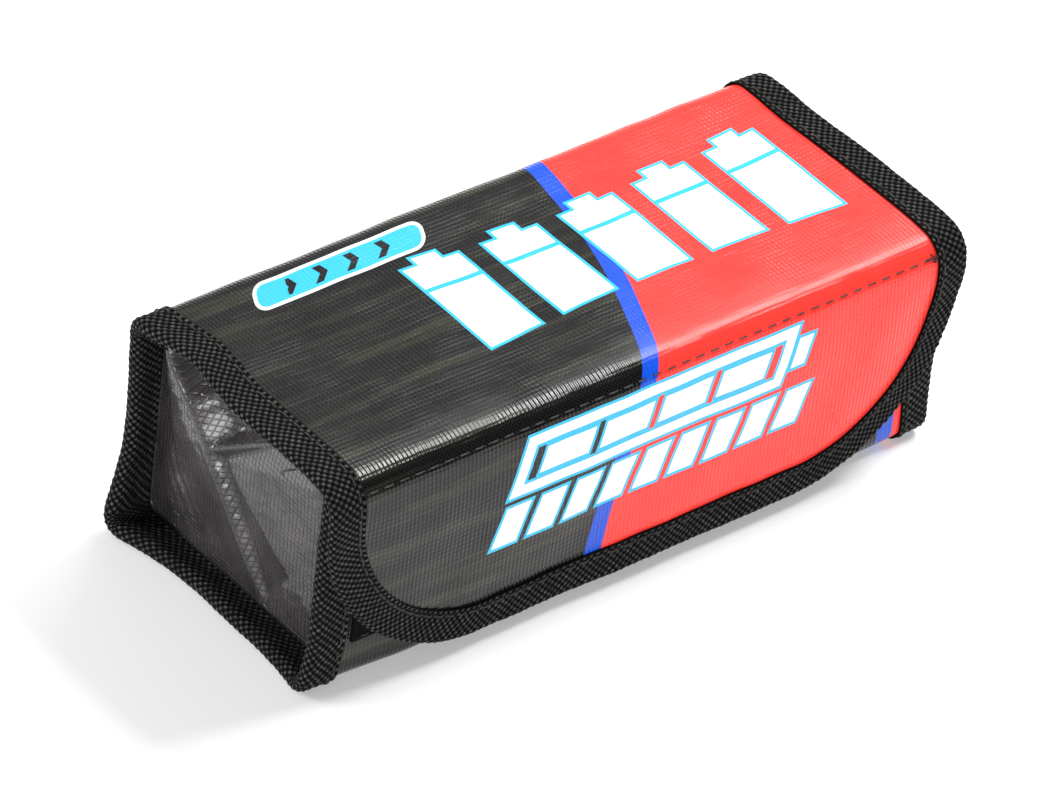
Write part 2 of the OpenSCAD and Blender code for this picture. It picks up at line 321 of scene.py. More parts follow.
def set_places(thing, name, places):
    """Stores a vector at each point of the mesh, for materials that follow the cloth."""
    layer = thing.data.attributes.new(name, "FLOAT_VECTOR", "POINT")
    layer.data.foreach_set("vector", np.reshape(places, -1).astype(np.float32))


def thicken(thing, thickness):
    """Gives a sheet its thickness, inwards from the side its faces point to, with crisp rims."""
    mesh = thing.data
    used = np.zeros(len(mesh.loops), np.int32)
    mesh.loops.foreach_get("edge_index", used)
    rim = np.bincount(used, minlength=len(mesh.edges)) == 1
    mesh.attributes.new("sharp_edge", "BOOLEAN", "EDGE").data.foreach_set("value", rim)
    wall = thing.modifiers.new("thickness", "SOLIDIFY")
    wall.thickness = thickness
    wall.offset = -1.0


# ---------------------------------------------------------------- cloth finishes
# The outer cloth is woven glass with a glossy coat over a print: black, coral red and a blue
# stripe. Battery cells and a lozenge on the lid, and a battery sign over slanted bars on the
# flap, stand on it in white with a cyan line.


class Recipe:
    """A material's nodes, with short ways to write sums on them."""

    def __init__(self, name):
        self.material = bpy.data.materials.new(name)
        self.material.use_nodes = True
        self.nodes = self.material.node_tree.nodes
        self.links = self.material.node_tree.links
        self.shader = self.nodes["Principled BSDF"]

    def feed(self, socket, value):
        """Links a socket into another, or sets it to a number or colour."""
        if isinstance(value, bpy.types.NodeSocket):
            self.links.new(value, socket)
        else:
            socket.default_value = value

    def sum(self, operation, *values):
        """One Math node."""
        node = self.nodes.new("ShaderNodeMath")
        node.operation = operation
        for socket, value in zip(node.inputs, values):
            self.feed(socket, value)
        return node.outputs[0]

    def add(self, a, b):
        return self.sum("ADD", a, b)

    def minus(self, a, b):
        return self.sum("SUBTRACT", a, b)

    def times(self, a, b):
        return self.sum("MULTIPLY", a, b)

    def larger(self, a, b):
        return self.sum("MAXIMUM", a, b)

    def smaller(self, a, b):
        return self.sum("MINIMUM", a, b)

    def size(self, a):
        return self.sum("ABSOLUTE", a)

    def rise(self, value, low, high, to_low=0.0, to_high=1.0):
        """Smooth step of a value from low to high."""
        node = self.nodes.new("ShaderNodeMapRange")
        node.interpolation_type = "SMOOTHSTEP"
        for name, v in zip(
            ("Value", "From Min", "From Max", "To Min", "To Max"), (value, low, high, to_low, to_high)
        ):
            self.feed(node.inputs[name], v)
        return node.outputs[0]

    def mix(self, share, a, b):
        """Colour a where share is 0 and colour b where it is 1."""
        node = self.nodes.new("ShaderNodeMix")
        node.data_type = "RGBA"
        for socket, value in zip((node.inputs[0], node.inputs[6], node.inputs[7]), (share, a, b)):
            self.feed(socket, value)
        return node.outputs[2]

    def place(self, name):
        """The three parts of a stored vector, in millimetres."""
        node = self.nodes.new("ShaderNodeAttribute")
        node.attribute_name = name
        scale = self.nodes.new("ShaderNodeVectorMath")
        scale.operation = "SCALE"
        scale.inputs["Scale"].default_value = 1000.0
        self.links.new(node.outputs["Vector"], scale.inputs[0])
        parts = self.nodes.new("ShaderNodeSeparateXYZ")
        self.links.new(scale.outputs[0], parts.inputs[0])
        return scale.outputs[0], parts.outputs

    def stretch(self, vector, factors):
        """A vector with each part multiplied, which draws a texture out along the small ones."""
        node = self.nodes.new("ShaderNodeVectorMath")
        node.operation = "MULTIPLY"
        self.links.new(vector, node.inputs[0])
        node.inputs[1].default_value = factors
        return node.outputs[0]

    def noise(self, vector, scale, detail=3.0, roughness=0.55):
        node = self.nodes.new("ShaderNodeTexNoise")
        self.feed(node.inputs["Vector"], vector)
        node.inputs["Scale"].default_value = scale
        node.inputs["Detail"].default_value = detail
        node.inputs["Roughness"].default_value = roughness
        return node.outputs["Fac"]

    def wave(self, value, pitch, phase=0.0):
        """Sine of a length, one period for each pitch."""
        return self.sum("SINE", self.sum("MULTIPLY_ADD", value, math.tau / pitch, phase))

    def bump(self, height, distance, strength=1.0, onto=None):
        node = self.nodes.new("ShaderNodeBump")
        self.feed(node.inputs["Height"], height)
        node.inputs["Distance"].default_value = distance
        node.inputs["Strength"].default_value = strength
        if onto is not None:
            self.links.new(onto, node.inputs["Normal"])
        return node.outputs["Normal"]

    def finish(self, **sockets):
        """Feeds the shader's sockets and gives the finished material."""
        for name, value in sockets.items():
            self.feed(self.shader.inputs[name.replace("_", " ")], value)
        return self.material


PRINT_BLACK = (0.004, 0.004, 0.0045, 1)
# olive grey of the painted sheen streaks on the black print
SHEEN_STREAK_OLIVE = (0.026, 0.026, 0.016, 1)
# olive of the painted sheen dots on the rib crossings
SHEEN_DOT_OLIVE = (0.30, 0.29, 0.20, 1)
PRINT_RED = (0.86, 0.036, 0.028, 1)
PRINT_BLUE = (0.006, 0.065, 0.52, 1)
PRINT_CYAN = (0.03, 0.42, 0.66, 1)
PRINT_WHITE = (0.84, 0.86, 0.86, 1)
# the sizes of the print and the weave are in mm, on the flat cloth
RIB_PITCH = 1.15
CROSS_PITCH = 1.25
LINE_W = 0.85
EDGE_W = 0.12
STRIPE_W = 4.9
LEAN = 0.35
CELL_PITCH = 22.4
SIGN_LEVEL, MARKS_LEVEL = 47.5, 32.2


def slanted_box(r, across, up, centre, half):
    """Distance in mm outside a slanted bar: the larger of its two overlaps, negative inside."""
    leaned = r.minus(across, r.times(r.minus(up, centre[1]), LEAN))
    beside = r.minus(r.size(r.minus(leaned, centre[0])), half[0])
    above = r.minus(r.size(r.minus(up, centre[1])), half[1])
    return r.larger(beside, above)


def from_nearest(r, value, first, pitch, count):
    """Distance from the nearest of a row of evenly spaced places."""
    place = r.times(r.minus(value, first), 1 / pitch)
    nearest = r.smaller(r.larger(r.sum("ROUND", place), 0.0), count - 1.0)
    return r.times(r.minus(place, nearest), pitch)


def bar_row(r, across, up, first, pitch, count, level, half):
    """Distance outside a row of equal slanted bars, by folding them onto the nearest one."""
    leaned = r.minus(across, r.times(r.minus(up, level), LEAN))
    beside = r.minus(r.size(from_nearest(r, leaned, first, pitch, count)), half[0])
    above = r.minus(r.size(r.minus(up, level)), half[1])
    return r.larger(beside, above)


def printed(r, base, distance):
    """Lays a white shape with a cyan line round it over the base colour."""
    lined = r.mix(r.rise(distance, LINE_W, LINE_W + EDGE_W, 1.0, 0.0), base, PRINT_CYAN)
    return r.mix(r.rise(distance, 0.0, EDGE_W, 1.0, 0.0), lined, PRINT_WHITE)


def ground_print(r, vector, x, s):
    """Black on the left and red on the right of a blue stripe.

    The stripe swings across the lid and the flap, and across the floor to the front wall.
    """
    swing = r.sum("TANH", r.times(r.minus(s, 60.0), 1 / 48.0))
    left = r.minus(r.minus(1.0, r.times(swing, 21.5)), x)
    left = r.add(left, r.rise(s, FLOOR_END / MM, FLOOR_START / MM, 0.0, 54.0))
    past = r.times(left, -1.0)
    # painted sheen: streaks along the bag show as olive grey on the black, standing in for reflections
    painted_sheen_streak = r.noise(r.stretch(vector, (0.07, 1.0, 1.0)), 0.20, 4.0, 0.6)
    black = r.mix(r.rise(painted_sheen_streak, 0.46, 0.70), PRINT_BLACK, SHEEN_STREAK_OLIVE)
    base = r.mix(r.rise(past, 0.0, EDGE_W), black, PRINT_BLUE)
    return r.mix(r.rise(past, STRIPE_W, STRIPE_W + EDGE_W), base, PRINT_RED)


def lid_cells(r, x, lid_y):
    """Distance outside five upright battery cells, the outer ones tallest, each with a band."""
    reach = r.sum("POWER", r.times(r.minus(x, 22.0), 1 / 55.0), 2.0)
    tall = r.add(14.0, r.times(reach, 2.6))
    beside = r.size(from_nearest(r, x, -22.0, CELL_PITCH, 5))
    up = r.minus(lid_y, 2.6)
    can = r.larger(r.minus(beside, 7.6), r.minus(r.size(up), tall))
    knob = r.larger(r.minus(beside, 3.2), r.minus(r.size(r.minus(up, tall)), 3.0))
    gap = r.minus(0.8, r.size(r.minus(up, r.times(tall, 0.45))))
    return r.larger(r.smaller(can, knob), gap)


def flap_sign(r, x, flap_z):
    """Distance outside a battery sign: a frame round four cells, and a terminal."""
    outside = slanted_box(r, x, flap_z, (0.0, SIGN_LEVEL), (40.0, 7.4))
    opening = slanted_box(r, x, flap_z, (0.0, SIGN_LEVEL), (37.2, 4.9))
    case = r.larger(outside, r.times(opening, -1.0))
    cells = bar_row(r, x, flap_z, -26.1, 17.4, 4, SIGN_LEVEL, (7.0, 3.1))
    terminal = slanted_box(r, x, flap_z, (43.6, SIGN_LEVEL), (2.0, 3.6))
    return r.smaller(r.smaller(case, cells), terminal)


def lozenge(r, base, x, lid_y):
    """Lays a small cyan lozenge with three chevrons over the lid's back left corner."""
    up = r.minus(lid_y, 28.0)
    leaned = r.minus(r.add(x, 41.0), r.times(up, 0.5))
    past_x = r.larger(r.minus(r.size(leaned), 21.0), 0.0)
    past_y = r.larger(r.minus(r.size(up), 0.9), 0.0)
    pill = r.minus(r.sum("SQRT", r.add(r.times(past_x, past_x), r.times(past_y, past_y))), 2.6)
    chevron = r.add(leaned, r.times(r.size(up), 0.7))
    turned = r.times(r.minus(r.sum("FRACT", r.times(chevron, 1 / 9.0)), 0.5), 9.0)
    cut = r.minus(r.size(turned), 1.1)
    near = r.rise(r.size(leaned), 15.0, 15.3, 1.0, 0.0)
    base = r.mix(r.rise(pill, 1.0, 1.15, 1.0, 0.0), base, PRINT_WHITE)
    base = r.mix(r.rise(pill, 0.0, 0.15, 1.0, 0.0), base, PRINT_CYAN)
    inside = r.times(r.rise(pill, -1.0, -0.85, 1.0, 0.0), near)
    return r.mix(r.times(inside, r.rise(cut, 0.0, 0.15, 1.0, 0.0)), base, PRINT_BLACK)


def printed_cloth():
    """Coated glass cloth with its print, in the strip's own flat coordinates."""
    r = Recipe("printed_cloth")
    vector, (x, s, _) = r.place("strip")
    lid_y = r.minus((BACK_Y - BACK_FOLD_R) / MM, s)
    flap_z = r.minus((TOP_Z - FRONT_FOLD_R + FOLD_END) / MM, s)
    base = ground_print(r, vector, x, s)
    base = printed(r, base, lid_cells(r, x, lid_y))
    base = printed(r, base, flap_sign(r, x, flap_z))
    base = printed(r, base, bar_row(r, x, flap_z, -41.0, 10.4, 9, MARKS_LEVEL, (3.5, 5.0)))
    base = lozenge(r, base, x, lid_y)
    # ribs run round the bag, fine threads cross them, and both wander and fade a little
    stray = r.times(r.minus(r.noise(vector, 0.04, 2.0), 0.5), 1.2)
    rib = r.wave(r.add(x, stray), RIB_PITCH)
    cross = r.wave(r.add(s, stray), CROSS_PITCH)
    worn = r.rise(r.noise(vector, 0.07, 3.0), 0.35, 0.65, 0.35, 1.0)
    pillow = r.add(r.times(rib, 0.6), r.times(r.times(cross, worn), 0.35))
    height = r.add(pillow, r.times(r.noise(vector, 1.1, 2.0), 0.4))
    fine = r.bump(height, 0.055 * MM, 1.0)
    # long shallow draws in the coat run along the bag and streak the gloss
    streaks = r.noise(r.stretch(vector, (0.06, 1.0, 1.0)), 0.45, 4.0, 0.65)
    fine = r.bump(streaks, 0.15 * MM, 0.6, fine)
    dented = r.bump(r.noise(vector, 0.08, 3.0), 1.0 * MM, 0.3, fine)
    dull = r.add(r.times(streaks, 0.6), r.times(r.noise(vector, 0.12, 4.0), 0.4))
    # a faint paler olive dot of painted sheen lies on each crossing of the ribs
    painted_sheen_dots = r.rise(r.times(rib, cross), 0.2, 0.9, 0.0, 0.35)
    return r.finish(
        Base_Color=r.mix(r.times(painted_sheen_dots, 0.09), base, SHEEN_DOT_OLIVE),
        Roughness=r.rise(dull, 0.35, 0.65, 0.11, 0.22),
        Specular_IOR_Level=0.34,
        Normal=dented,
    )


cover_finish = printed_cloth()


def strip_sheet(name, s_from, s_to, lift, material, edge=0.0, step=1.2 * MM, columns=150):
    """A grid over the strip from s_from to s_to: rows follow s, columns share out the width."""
    s = np.linspace(s_from, s_to, int((s_to - s_from) / step) + 2)
    # rows crowd where the strip folds, because the section curves there
    for centre in (BACK_FOLD_START / 2, (LID_RUN + FOLD_END) / 2, BOTTOM_FRONT_S, BOTTOM_BACK_S):
        if s_from < centre < s_to:
            s = np.append(s, np.linspace(centre - 6 * MM, centre + 6 * MM, 24))
    s = np.unique(np.clip(s, s_from, s_to))[:, None]
    u = np.linspace(-1, 1, columns)[None, :]
    x = u * (half_width(s, np.sign(u)) - edge)
    faces = grid_faces(*x.shape)[:, ::-1]
    thing = piece(name, on_strip(x, s, lift), [faces], material)
    set_places(thing, "strip", np.stack(np.broadcast_arrays(x, s, 0.0), -1))
    return thing


# the strip is cut for the joints half way up the back wall and along the middle of the lid
WALL_CUT = BACK_WALL_START + BACK_RUN / 2


def cloth_layer(layer, depth, thickness, material, nodes, edge, columns=150):
    """One layer of the whole strip, in three lengths: on the body, over each cloth hinge."""
    cuts = [("body", STRIP_START, WALL_CUT), ("back", WALL_CUT, LID_MIDDLE), ("front", LID_MIDDLE, STRIP_END)]
    for (part, s_from, s_to), stands_for in zip(cuts, nodes):
        sheet = strip_sheet(f"{layer}_{part}", s_from, s_to, -depth, material, edge, columns=columns)
        thicken(sheet, thickness)
        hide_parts(*stands_for)
        if part == "body":
            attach(sheet, "body")
        elif part == "back":
            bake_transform(sheet)
        else:
            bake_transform(sheet)


COVER_T, CORE_T, LINING_T = 0.5 * MM, 0.6 * MM, 0.3 * MM
cloth_layer(
    "cover", 0.0, COVER_T, cover_finish,
    [["outer_shell"], ["lid_cover"], ["flap_cover"]], 0.9 * MM,
)

# ---------------------------------------------------------------- core
# Between cover and lining lies a matt felt of chopped glass fibre, cut to the same outline and
# caught in the same seams.


def glass_felt():
    """Pale felt of short crossing fibres."""
    r = Recipe("glass_felt")
    vector, _ = r.place("strip")
    fibres = r.noise(vector, 2.2, 5.0, 0.7)
    clumps = r.noise(vector, 0.35, 3.0)
    base = r.mix(r.rise(clumps, 0.3, 0.7), (0.60, 0.60, 0.55, 1), (0.74, 0.74, 0.70, 1))
    return r.finish(Base_Color=base, Roughness=0.95, Normal=r.bump(fibres, 0.2 * MM, 1.0))


cloth_layer(
    "core", COVER_T, CORE_T, glass_felt(),
    [["shell_core"], ["lid_core"], ["flap_core"]], 1.6 * MM, columns=90,
)

# ---------------------------------------------------------------- lining
# The inside is a plain grey satin glass cloth, the layer that a pack lies against.


def lining_satin():
    """Grey glass cloth in a satin weave: long floats that step aside from row to row."""
    r = Recipe("lining_satin")
    vector, (x, s, _) = r.place("strip")
    float_row = r.wave(s, 0.8)
    stepped = r.wave(r.add(x, r.times(s, 0.5)), 1.6)
    height = r.add(r.times(float_row, 0.5), r.times(stepped, 0.35))
    height = r.add(height, r.noise(vector, 1.5, 2.0))
    tone = r.rise(r.noise(vector, 0.06, 4.0), 0.3, 0.7)
    base = r.mix(tone, (0.40, 0.41, 0.42, 1), (0.52, 0.53, 0.53, 1))
    return r.finish(Base_Color=base, Roughness=0.42, Normal=r.bump(height, 0.07 * MM, 0.9))


lining_finish = lining_satin()
cloth_layer(
    "lining", COVER_T + CORE_T, LINING_T, lining_finish,
    [["shell_lining"], ["lid_lining"], ["flap_lining"]], 1.3 * MM,
)

# ---------------------------------------------------------------- end gussets
# Each end is closed by a panel of glossy black glass cloth with a square grid in its weave. Its
# margin is sewn flat inside the walls, and the panel is creased where it tucks in as the lid
# comes down: a ridge from the top edge to a peak, and creases from there to floor and front.

GUSSET_T = 0.5 * MM
GRID_PITCH = 1.3
DIMPLE_Y, DIMPLE_Z = 27 * MM, 19 * MM
WRINKLE_Y, WRINKLE_Z = 0.55, 0.83
panel_front = FRONT_Y + CLOTH_T
panel_back = BACK_Y - CLOTH_T
panel_floor = FLOOR_Z + CLOTH_T
panel_top = TOP_Z - BACK_FOLD_R


def gusset_cloth():
    """Black coated cloth: small glossy pillows between the sunk threads of a square grid, with painted shade
    in the grooves.
    """
    r = Recipe("gusset_cloth")
    vector, (across, up, _) = r.place("strip")
    stray = r.times(r.minus(r.noise(vector, 0.10, 2.0), 0.5), 1.6)
    groove_a = r.size(r.wave(r.add(across, stray), 2 * GRID_PITCH))
    groove_b = r.size(r.wave(r.add(up, stray), 2 * GRID_PITCH, 0.7))
    flats = r.rise(r.smaller(groove_a, r.add(groove_b, 0.08)), 0.0, 0.55)
    height = r.add(flats, r.times(r.noise(vector, 0.9, 2.0), 0.25))
    fine = r.bump(height, 0.15 * MM, 0.85)
    folds = r.bump(r.noise(vector, 0.10, 2.0), 0.7 * MM, 0.25, fine)
    tone = r.rise(r.noise(vector, 0.08, 4.0), 0.3, 0.7)
    base = r.mix(tone, (0.026, 0.0235, 0.024, 1), (0.055, 0.0495, 0.050, 1))
    # painted shade: the grid's sunk threads are darkened
    base = r.mix(r.rise(flats, 0.1, 0.8, 0.45, 0.0), base, (0.002, 0.002, 0.002, 1))
    rough = r.rise(r.noise(vector, 0.25, 3.0), 0.3, 0.7, 0.11, 0.19)
    return r.finish(
        Base_Color=base, Roughness=rough, Specular_IOR_Level=0.36, Coat_Weight=0.25,
        Coat_Roughness=0.06, Normal=folds,
    )


gusset_finish = gusset_cloth()


def crease_plan(depth):
    """The panel's crease points as (across, up, out) in mm, and their triangles.

    depth scales how far the creases stand out or fall in, so the two ends differ a little.
    """
    front, back, low, high = (v / MM for v in (panel_front, panel_back, panel_floor, panel_top))
    points = [
        (front, low, 0.0),
        (-6.0, low, 0.3),
        (back, low, 0.0),
        (back, high, 0.0),
        (front, high, 0.0),
        (29.0, high, 7.0),
        (22.5, high, -12.0),
        (8.0, high, -6.0),
        (-13.0, high, 0.5),
        (14.0, 37.0, 5.4),
        (17.0, 49.5, 0.5),
        (9.5, 43.0, -2.0),
        (27.5, 19.0, 1.2),
        (11.0, 35.2, 2.0),
        (-5.2, 6.3, -1.3),
        (-21.0, 48.0, 2.4),
        (-14.0, 18.0, 1.2),
        (20.6, 46.0, 5.6),
    ]
    spots = np.array(points)
    spots[:, 2] *= depth
    flat = [Vector((a, b)) for a, b, _ in points]
    creases = [(1, 9), (9, 5), (9, 17), (9, 12), (12, 2), (13, 14), (9, 8), (1, 16), (16, 15), (15, 8)]
    found = mathutils.geometry.delaunay_2d_cdt(flat, creases, [], 0, 1e-5)
    order = np.array([origin[0] for origin in found[3]])
    return spots, order[np.array([list(f) for f in found[2]])]


def crease_height(across, up, depth):
    """Height of the creased panel: flat triangles between the crease points, softly blurred."""
    spots, triangles = crease_plan(depth)
    height = np.zeros_like(across)
    for a, b, c in spots[triangles]:
        turn = (b[0] - a[0]) * (c[1] - a[1]) - (c[0] - a[0]) * (b[1] - a[1])
        share_b = ((across - a[0]) * (c[1] - a[1]) - (c[0] - a[0]) * (up - a[1])) / turn
        share_c = ((b[0] - a[0]) * (up - a[1]) - (across - a[0]) * (b[1] - a[1])) / turn
        inside = (share_b >= -1e-6) & (share_c >= -1e-6) & (share_b + share_c <= 1 + 1e-6)
        height = np.where(inside, a[2] + share_b * (b[2] - a[2]) + share_c * (c[2] - a[2]), height)
    for _ in range(3):
        wide = np.pad(height, 1, mode="edge")
        height = (wide[:-2, 1:-1] + wide[2:, 1:-1] + wide[1:-1, :-2] + wide[1:-1, 2:] + 2 * height) / 6
    return height


def gusset_sheet(name, side, depth, behind, material, margin):
    """A panel on a grid of (across, up) whose floor edge follows the walls' rounded corners.

    It lies behind the seam line by a distance. The sewn margin is a second grid on the strip's
    inner face, from the panel out to the rim.
    """
    rows, columns = 130, 160
    wall_rows, margin_columns = 260, 14
    across = np.linspace(panel_front, panel_back, columns)[None, :]
    corner_r = BOTTOM_R - CLOTH_T
    reach = np.maximum(np.maximum(panel_front + corner_r - across, across - panel_back + corner_r), 0)
    floor = panel_floor + corner_r - np.sqrt(np.maximum(corner_r**2 - reach**2, 0))
    up = floor + (panel_top - floor) * np.linspace(0, 1, rows)[:, None]
    across = across + 0 * up
    height = crease_height(across / MM, up / MM, depth) * MM
    edge = np.minimum(np.minimum(across - panel_front, panel_back - across), up - floor)
    loose = ramp(edge, 0, 9 * MM)
    height = height + 0.10 * MM * waves(across, up, 21 + side, 16 * MM) * loose
    # small hard wrinkles run off the dimple low on the back crease
    past_y, past_z = across - DIMPLE_Y, up - DIMPLE_Z
    run = past_y * WRINKLE_Y + past_z * WRINKLE_Z
    over = past_y * WRINKLE_Z - past_z * WRINKLE_Y
    pinch = np.exp(-((run / (9 * MM)) ** 2) - (over / (7 * MM)) ** 2)
    height = height + 0.14 * MM * pinch * np.sin(over / (0.55 * MM)) * loose
    x = side * (SEAM_X + height - behind)
    panel = np.stack([x, across, up], -1)
    faces = [grid_faces(rows, columns)[:, ::side]]
    places = [np.stack([across, up, 0 * up], -1).reshape(-1, 3)]
    points = [panel.reshape(-1, 3)]
    if margin:
        s = np.linspace(STRIP_START, BACK_FOLD_START, wall_rows)[:, None]
        reach_out = np.linspace(SEAM_X - GUSSET_T, BODY_HALF - 0.5 * MM, margin_columns)[None, :]
        strip = on_strip(side * reach_out, s, -CLOTH_T - GUSSET_T)
        points.append(strip.reshape(-1, 3))
        faces.append(grid_faces(wall_rows, margin_columns)[:, ::side] + rows * columns)
        places.append(np.stack(np.broadcast_arrays(s, reach_out, 0.0), -1).reshape(-1, 3))
    thing = piece(name, np.concatenate(points), faces, material)
    set_places(thing, "strip", np.concatenate(places))
    return thing


for word, side, depth in (("left", -1, 1.0), ("right", 1, 0.8)):
    gusset = gusset_sheet(f"{word}_end_panel", side, depth, 0.0, gusset_finish, True)
    thicken(gusset, GUSSET_T)
    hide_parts(f"{word}_gusset")
    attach(gusset, "body")
    inner = gusset_sheet(f"{word}_end_lining", side, depth, GUSSET_T + 0.15 * MM, lining_finish, False)
    thicken(inner, LINING_T)
    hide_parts(f"{word}_gusset_lining")
    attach(inner, "body")

# ---------------------------------------------------------------- edge tape
# Every cut edge is wrapped in 20 mm woven polyester tape, folded in half over it and sewn
# through. Its plain basket weave stands up in small bumps, which roughen its outline too.

WEAVE_PITCH = 2.0 * MM
TAPE_STEP = WEAVE_PITCH / 7
WEAVE_RISE = 0.42 * MM
OUTER_LEG, INNER_LEG = 9.3 * MM, 7.6 * MM
THIN_PUFF, THICK_PUFF = 0.3 * MM, 0.9 * MM
WANDER = 0.12 * MM
FIRM_EDGE = 0.7 * MM
CLOTH_EDGE = 2 * MM


def woven_tape():
    """Black woven tape: painted shade between the bumps, a painted highlight on their fuzzy tips, and a dull
    sheen on them.
    """
    r = Recipe("woven_tape")
    vector, (along, over, height) = r.place("weave")
    fibre = r.wave(r.add(along, over), 0.30)
    fuzz = r.noise(vector, 3.5, 4.0, 0.7)
    patches = r.rise(r.noise(vector, 0.50, 3.0), 0.35, 0.65, 0.35, 1.1)
    # painted highlight: the bump tips are made paler, and the hollows between them stay near black as painted
    # shade
    tips = r.times(r.times(r.rise(height, 0.50, 0.95), r.rise(fuzz, 0.38, 0.60)), patches)
    base = r.mix(tips, (0.0035, 0.0035, 0.0035, 1), (0.115, 0.110, 0.100, 1))
    rough = r.rise(fuzz, 0.3, 0.7, 0.45, 0.75)
    threads = r.add(r.times(fibre, 0.4), fuzz)
    return r.finish(
        Base_Color=base,
        Roughness=rough,
        Specular_IOR_Level=r.rise(height, 0.3, 0.9, 0.02, 0.28),
        Normal=r.bump(threads, 0.09 * MM, 0.9),
    )


tape_finish = woven_tape()


def tape_profile(depth, puff, inner_leg):
    """The folded tape's section at each station as (inward, lift, their outward normal, walked).

    It walks down the outer leg, half round the fold and back along the inner leg: two straight
    runs and a half ellipse. depth, puff and inner_leg are columns with one row for each station.
    """
    tall = (depth + 2 * TAPE_T + puff) / 2
    # every station has the same count of points, as many as a fold of this half height needs
    usual = 2.1 * MM
    down = np.linspace(0, 1, int((OUTER_LEG - usual) / TAPE_STEP))[None, :]
    angle = np.linspace(0, math.pi, int(math.pi * usual / TAPE_STEP) + 1)[None, 1:-1]
    back = np.linspace(0, 1, int((INNER_LEG - usual) / (1.6 * TAPE_STEP)))[None, :]
    a_out = OUTER_LEG + (tall - OUTER_LEG) * down
    a_in = tall + (inner_leg - tall) * back
    sunk = -depth - TAPE_T - puff * ramp(a_in, inner_leg - 1 * MM, tall)
    a = np.concatenate([a_out, tall - tall * np.sin(angle), a_in], 1) - TAPE_T
    h = np.concatenate([0 * a_out + TAPE_T, TAPE_T - tall + tall * np.cos(angle), sunk], 1)
    na = np.concatenate([0 * down, -np.sin(angle), 0 * back], 1)
    nh = np.concatenate([0 * down + 1, np.cos(angle), 0 * back - 1], 1)
    steps = np.hypot(np.diff(a, axis=1, prepend=a[:, :1]), np.diff(h, axis=1, prepend=h[:, :1]))
    return a, h, na, nh, np.cumsum(steps, axis=1)


def tape(name, x, s, in_x, in_s, measure, depth=CLOTH_T, puff=THIN_PUFF, inner_leg=INNER_LEG):
    """Carries the folded tape's section along the cloth's edge (x, s) and raises its weave.

    The weave's height is one sine along the tape times one across it, so bumps stand like the
    dark squares of a draughtboard. in_x, in_s point from the edge into the cloth, and measure
    is the length of tape up to each station.
    """
    column = 0 * x[:, None]
    depth, puff, inner_leg, along = (
        column + np.reshape(v, (-1, 1)) for v in (depth, puff, inner_leg, measure)
    )
    a, h, na, nh, walked = tape_profile(depth, puff, inner_leg)
    u = along + WANDER * waves(along, walked, 3, 9 * MM)
    v = walked + WANDER * waves(along, walked, 4, 11 * MM)
    weave = np.sin(math.tau * u / WEAVE_PITCH) * np.sin(math.tau * v / WEAVE_PITCH)
    # the woven edges of both legs are firm and plain
    last = walked[:, -1:]
    ends = ramp(walked, 0, FIRM_EDGE) * ramp(walked, last, last - FIRM_EDGE)
    rise = WEAVE_RISE * (weave - 1) / 2 * ends
    slack = WANDER * waves(along, walked, 8, 15 * MM) * ends
    # the tape's inner face lies on the cloth's two faces and round its edge
    on_cloth = column + CLOTH_EDGE
    inner_face = [inner_leg - TAPE_T, on_cloth, on_cloth, column + OUTER_LEG - TAPE_T]
    inward = np.concatenate([a + na * (rise + slack), *inner_face], 1)
    lift = np.concatenate([h + nh * (rise + slack), -depth, -depth, 0 * depth, 0 * depth], 1)
    px = x[:, None] + in_x[:, None] * inward
    ps = s[:, None] + in_s[:, None] * inward
    rows, ring = px.shape
    first = np.arange(ring)
    start = (np.arange(rows - 1)[:, None] * ring + first).ravel()
    other = (np.arange(rows - 1)[:, None] * ring + (first + 1) % ring).ravel()
    walls = np.stack([start, start + ring, other + ring, other], 1)
    caps = np.stack([first, first[::-1] + (rows - 1) * ring])
    thing = piece(name, on_strip(px, ps, lift), [walls, caps], tape_finish)
    hidden = np.zeros((rows, 4))
    places = np.stack([u, v, (weave + 1) / 2 * MM], -1)
    set_places(thing, "weave", np.concatenate([places, np.stack([hidden] * 3, -1)], 1))
    return thing


def stations(s_from, s_to):
    """Places along a straight tape, a weave step apart."""
    return np.linspace(s_from, s_to, int(abs(s_to - s_from) / TAPE_STEP) + 1)


flap_path, flap_out, flap_walk = rounded_path(
    [(LID_HALF, LID_MIDDLE), (LID_HALF, STRIP_END), (-LID_HALF, STRIP_END), (-LID_HALF, LID_MIDDLE)],
    [FLAP_CORNER_R, FLAP_CORNER_R],
    0.3 * MM,
)
ROUND_THE_FLAP = 2 * LID_MIDDLE + flap_walk[-1]

for word, side in (("left", -1), ("right", 1)):
    # the tape runs up the right end, across the flap and down the left end as one length
    ends = (STRIP_START - TAPE_T, BACK_FOLD_START)
    s = stations(*(ends if side > 0 else ends[::-1]))
    x = side * half_width(s, side)
    measure = s if side > 0 else ROUND_THE_FLAP - s
    to_panel = np.abs(x) + TAPE_T - SEAM_X - 1.1 * MM
    end_tape = tape(
        f"{word}_end_tape", x, s, -side + 0 * s, 0 * s, measure, CLOTH_T + GUSSET_T, THICK_PUFF, to_panel,
    )
    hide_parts(f"{word}_end_binding")
    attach(end_tape, "body")
    ends = (BACK_FOLD_START - 0.3 * MM, LID_MIDDLE)
    s = stations(*(ends if side > 0 else ends[::-1]))
    x = side * half_width(s, side)
    measure = s if side > 0 else ROUND_THE_FLAP - s
    # it is fullest where it leaves the end panel's layers and thins out over the back fold
    full = ramp(s, 16 * MM, BACK_FOLD_START)
    depth = CLOTH_T + GUSSET_T * full
    puff = THIN_PUFF + (THICK_PUFF - THIN_PUFF) * full
    lid_tape = tape(f"{word}_lid_tape", x, s, -side + 0 * s, 0 * s, measure, depth, puff)
    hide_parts(f"lid_{word}_binding")
    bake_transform(lid_tape)

rim_x = SEAM_X - 0.8 * MM
x = stations(-rim_x, rim_x)
rim_tape = tape("front_rim_tape", x, STRIP_START + 0 * x, 0 * x, 1 + 0 * x, x)
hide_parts("front_rim_binding")
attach(rim_tape, "body")

